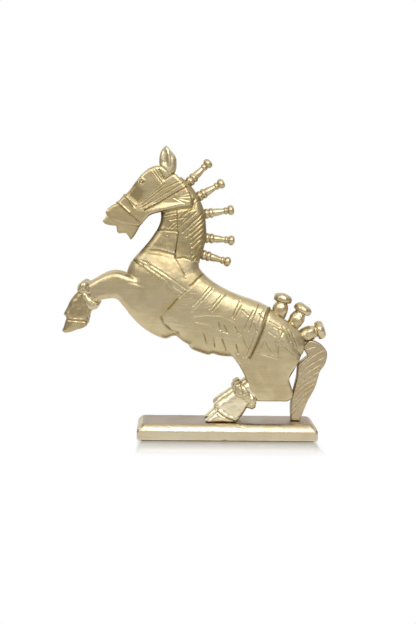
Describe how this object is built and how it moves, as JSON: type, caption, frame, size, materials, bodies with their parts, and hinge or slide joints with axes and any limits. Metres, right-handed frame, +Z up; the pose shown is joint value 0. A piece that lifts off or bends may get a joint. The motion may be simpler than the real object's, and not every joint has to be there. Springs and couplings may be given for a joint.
{
  "type": "horse figurine",
  "caption": "Rearing horse ornament: a sawn wooden core clad in thin chased sheet metal, with turned mane pegs, rump finials and a board tail, on a clad wooden plinth",
  "frame": {"origin": "centre of the plinth's underside, on the surface that the figurine stands on", "axes": "+X from the horse's nose to its tail, +Y from its near (left) side to its far side, +Z up; the viewer looks along +Y"},
  "size_m": [0.2675, 0.052, 0.2923],
  "materials": {
    "sheet": "satin, pale champagne-gold white metal, worn, with brown patina in the creases",
    "trim_sheet": "satin, same metal, chased with lines and lightly tarnished",
    "foil": "thin crumpled foil, bright on the folds",
    "core_wood": "bare, hidden",
    "plinth_wood": "bare underside",
    "steel": "countersunk wood screws in the underside"
  },
  "bodies": {
    "root": {"plinth_block": "plinth_wood", "plinth_sheet": "sheet", "hind_hoof_screw_near": "steel", "hind_hoof_screw_far": "steel", "tail_screw": "steel", "horse_core": "core_wood", "head_sheet_near": "sheet", "head_sheet_far": "sheet", "throat_sheet_near": "sheet", "throat_sheet_far": "sheet", "mane_sheet_near": "sheet", "mane_sheet_far": "sheet", "flank_sheet_near": "sheet", "flank_sheet_far": "sheet", "foreleg_sheet_near": "sheet", "foreleg_sheet_far": "sheet", "fore_hoof_sheath_near": "sheet", "fore_hoof_sheath_far": "sheet", "haunch_sheet_near": "sheet", "haunch_sheet_far": "sheet", "hind_hoof_sheath_near": "sheet", "hind_hoof_sheath_far": "sheet", "fore_cuff_near": "foil", "hind_cuff_near": "foil", "ear_near": "sheet", "fore_cuff_far": "foil", "hind_cuff_far": "foil", "ear_far": "sheet", "mane_peg_1": "foil", "mane_peg_2": "foil", "mane_peg_3": "foil", "mane_peg_4": "foil", "mane_peg_5": "foil", "rump_finial_1": "foil", "rump_finial_2": "foil", "rump_finial_3": "foil", "tail_core": "core_wood", "tail_sheet": "sheet", "tail_dowel": "core_wood", "saddle_cloth": "trim_sheet", "breast_collar": "trim_sheet", "neck_plate": "trim_sheet", "noseband": "trim_sheet", "browband": "trim_sheet", "cheek_strap_near": "trim_sheet", "cheek_strap_far": "trim_sheet", "rump_cloth_near": "trim_sheet", "rump_cloth_far": "trim_sheet"}
  },
  "joints": []
}
